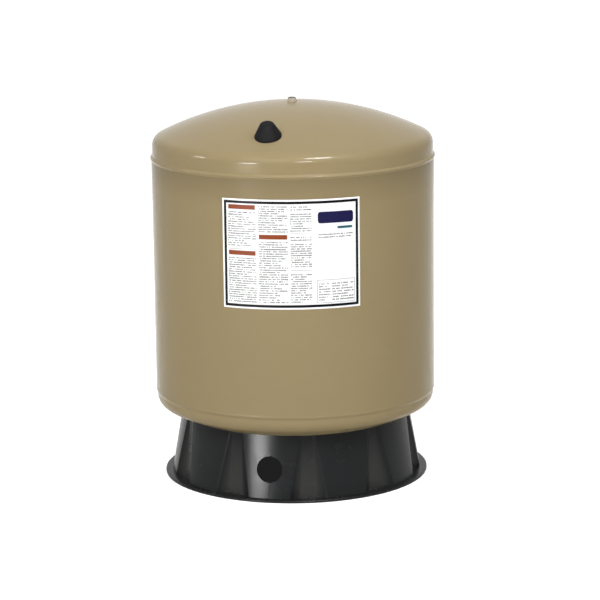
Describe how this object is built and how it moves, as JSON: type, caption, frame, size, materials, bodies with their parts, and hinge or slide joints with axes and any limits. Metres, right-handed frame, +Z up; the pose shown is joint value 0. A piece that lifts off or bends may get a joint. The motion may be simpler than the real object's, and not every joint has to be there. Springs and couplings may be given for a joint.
{
  "type": "well pressure tank",
  "caption": "Upright steel pressure tank with dished ends on a fluted plastic skirt, with a diaphragm and an air valve under a lift-off cover.",
  "frame": {"origin": "on the floor, at the centre of the skirt's foot", "axes": "+Z up the tank's centre line; -Y towards the pipe hole, the elbow's mouth and the air valve; +X to the right of someone facing the pipe hole"},
  "size_m": [0.5626, 0.5626, 0.754],
  "materials": {
    "tank_paint": "satin tan enamel",
    "bare_steel": "plain steel, lightly zinc plated",
    "stainless": "stainless steel",
    "brass": "turned",
    "skirt_plastic": "moulded, satin black",
    "cover_plastic": "moulded, matt black",
    "white_plastic": "natural white",
    "liner_plastic": "natural polypropylene",
    "butyl": "matt black",
    "seal_rubber": "matt black",
    "label_film": "printed film"
  },
  "bodies": {
    "tank": {"upper_head": "tank_paint", "shell": "tank_paint", "lower_head": "tank_paint", "upper_weld_bead": "tank_paint", "lower_weld_bead": "tank_paint", "shell_seam_weld": "tank_paint", "hanging_nut": "bare_steel", "base_skirt": "skirt_plastic", "system_elbow": "stainless", "elbow_weld": "stainless", "liner_seal": "seal_rubber", "clamp_nut": "stainless", "port_guard": "white_plastic", "liner": "liner_plastic", "diaphragm": "butyl", "clench_ring": "bare_steel", "valve_boss": "tank_paint", "valve_body": "brass", "valve_o_ring": "seal_rubber", "valve_packing": "white_plastic", "valve_core": "brass", "valve_spring": "stainless", "label": "label_film"},
    "cover": {"valve_cover": "cover_plastic"},
    "pin": {"valve_pin": "brass", "valve_cup": "seal_rubber"}
  },
  "joints": [
    {"name": "cover_lift", "type": "slide", "parent": "tank", "child": "cover", "axis": [0, -0.3517, 0.9361], "range_m": [0, 0.06]},
    {"name": "pin_press", "type": "slide", "parent": "tank", "child": "pin", "axis": [0, 0.3517, -0.9361], "range_m": [0, 0.0012], "stiffness_N_per_m": 3000, "springref_m": -0.001, "deforming": ["valve_spring"]}
  ]
}
